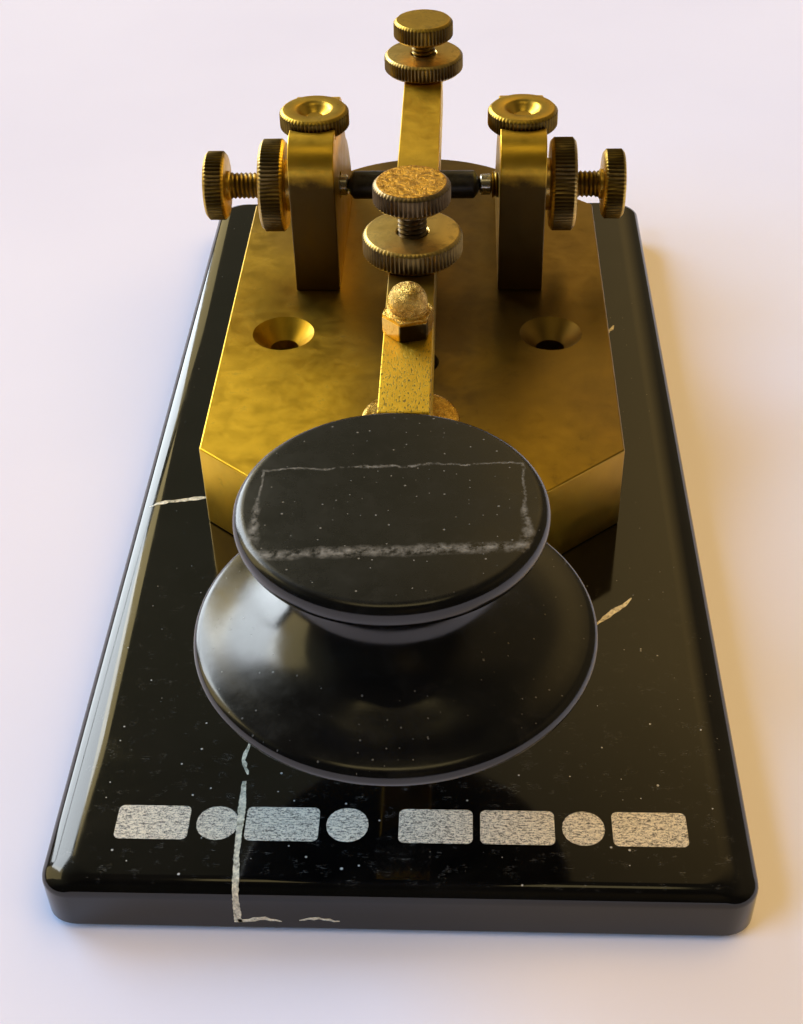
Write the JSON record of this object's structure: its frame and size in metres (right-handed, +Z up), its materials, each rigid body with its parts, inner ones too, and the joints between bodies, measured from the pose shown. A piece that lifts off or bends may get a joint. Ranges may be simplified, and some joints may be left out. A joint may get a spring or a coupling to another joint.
{
  "type": "morse key",
  "caption": "Straight brass Morse key on a black marble slab, with a black mushroom knob, sprung lever, knurled adjusting screws and a pivot between two posts.",
  "frame": {"origin": "centre of the marble slab's outline, on the plane that its pads stand on", "axes": "+Z up; the knob is at -Y and the gap screw at +Y; +X is to the operator's right"},
  "size_m": [0.08, 0.1643, 0.0498],
  "materials": {
    "marble": "polished",
    "rubber": "matte",
    "brass": "aged satin",
    "brass_dark": "tarnished",
    "steel": "satin",
    "blackened": "blackened",
    "bakelite": "worn gloss",
    "silver": "satin",
    "fibre": "matte"
  },
  "bodies": {
    "base": {"base_plate": "brass", "contact_bush": "fibre", "contact_nut": "brass_dark", "contact_tip_lower": "silver", "contact_washer": "fibre", "fixed_contact": "brass", "marble_base": "marble", "pad_front_left": "rubber", "pad_front_right": "rubber", "pad_rear_left": "rubber", "pad_rear_right": "rubber", "plate_screw_front": "steel", "plate_screw_rear": "steel", "post_left": "brass", "post_right": "brass", "post_screw_left_front": "steel", "post_screw_left_rear": "steel", "post_screw_right_front": "steel", "post_screw_right_rear": "steel", "return_spring": "steel"},
    "lever": {"lever": "brass", "axle": "blackened", "knob": "bakelite", "knob_screw": "steel", "contact_stud": "brass_dark", "contact_tip_upper": "silver", "contact_acorn_nut": "brass"},
    "spring_screw": {"spring_screw": "brass_dark"},
    "spring_locknut": {"spring_locknut": "brass_dark"},
    "gap_screw": {"gap_screw": "brass_dark"},
    "gap_locknut": {"gap_locknut": "brass_dark"},
    "clamp_screw_left": {"clamp_screw_left": "brass_dark"},
    "clamp_screw_right": {"clamp_screw_right": "brass_dark"},
    "trunnion_locknut_left": {"trunnion_locknut_left": "brass_dark"},
    "trunnion_locknut_right": {"trunnion_locknut_right": "brass_dark"},
    "trunnion_screw_left": {"trunnion_screw_left": "brass_dark", "pivot_cup_left": "steel"},
    "trunnion_screw_right": {"trunnion_screw_right": "brass_dark", "pivot_cup_right": "steel"}
  },
  "joints": [
    {"name": "lever_pivot", "type": "hinge", "parent": "base", "child": "lever", "pos_m": [0, 0.035, 0.0338], "axis": [1, 0, 0], "range_deg": [0, 0.8], "stiffness_Nm_per_rad": 9, "springref_deg": -1.72, "deforming": ["return_spring"]},
    {"name": "spring_screw_turn", "type": "hinge", "parent": "lever", "child": "spring_screw", "pos_m": [0, 0.0042, 0.0466], "axis": [0, 0, 1], "range_deg": [-180, 180]},
    {"name": "spring_locknut_turn", "type": "hinge", "parent": "lever", "child": "spring_locknut", "pos_m": [0, 0.0042, 0.0407], "axis": [0, 0, 1], "range_deg": [-180, 180]},
    {"name": "gap_screw_turn", "type": "hinge", "parent": "lever", "child": "gap_screw", "pos_m": [0, 0.0671, 0.0446], "axis": [0, 0, 1], "range_deg": [-60, 60]},
    {"name": "gap_locknut_turn", "type": "hinge", "parent": "lever", "child": "gap_locknut", "pos_m": [0, 0.0671, 0.0405], "axis": [0, 0, 1], "range_deg": [-180, 180]},
    {"name": "clamp_screw_left_turn", "type": "hinge", "parent": "base", "child": "clamp_screw_left", "pos_m": [-0.01585, 0.035, 0.044], "axis": [0, 0, 1], "range_deg": [-90, 90]},
    {"name": "clamp_screw_right_turn", "type": "hinge", "parent": "base", "child": "clamp_screw_right", "pos_m": [0.01585, 0.035, 0.044], "axis": [0, 0, 1], "range_deg": [-90, 90]},
    {"name": "trunnion_locknut_left_turn", "type": "hinge", "parent": "base", "child": "trunnion_locknut_left", "pos_m": [-0.022, 0.035, 0.0338], "axis": [-1, 0, 0], "range_deg": [-180, 180]},
    {"name": "trunnion_locknut_right_turn", "type": "hinge", "parent": "base", "child": "trunnion_locknut_right", "pos_m": [0.022, 0.035, 0.0338], "axis": [1, 0, 0], "range_deg": [-180, 180]},
    {"name": "trunnion_screw_left_turn", "type": "hinge", "parent": "base", "child": "trunnion_screw_left", "pos_m": [-0.01585, 0.035, 0.0338], "axis": [-1, 0, 0], "range_deg": [-45, 45]},
    {"name": "trunnion_screw_right_turn", "type": "hinge", "parent": "base", "child": "trunnion_screw_right", "pos_m": [0.01585, 0.035, 0.0338], "axis": [1, 0, 0], "range_deg": [-45, 45]}
  ]
}
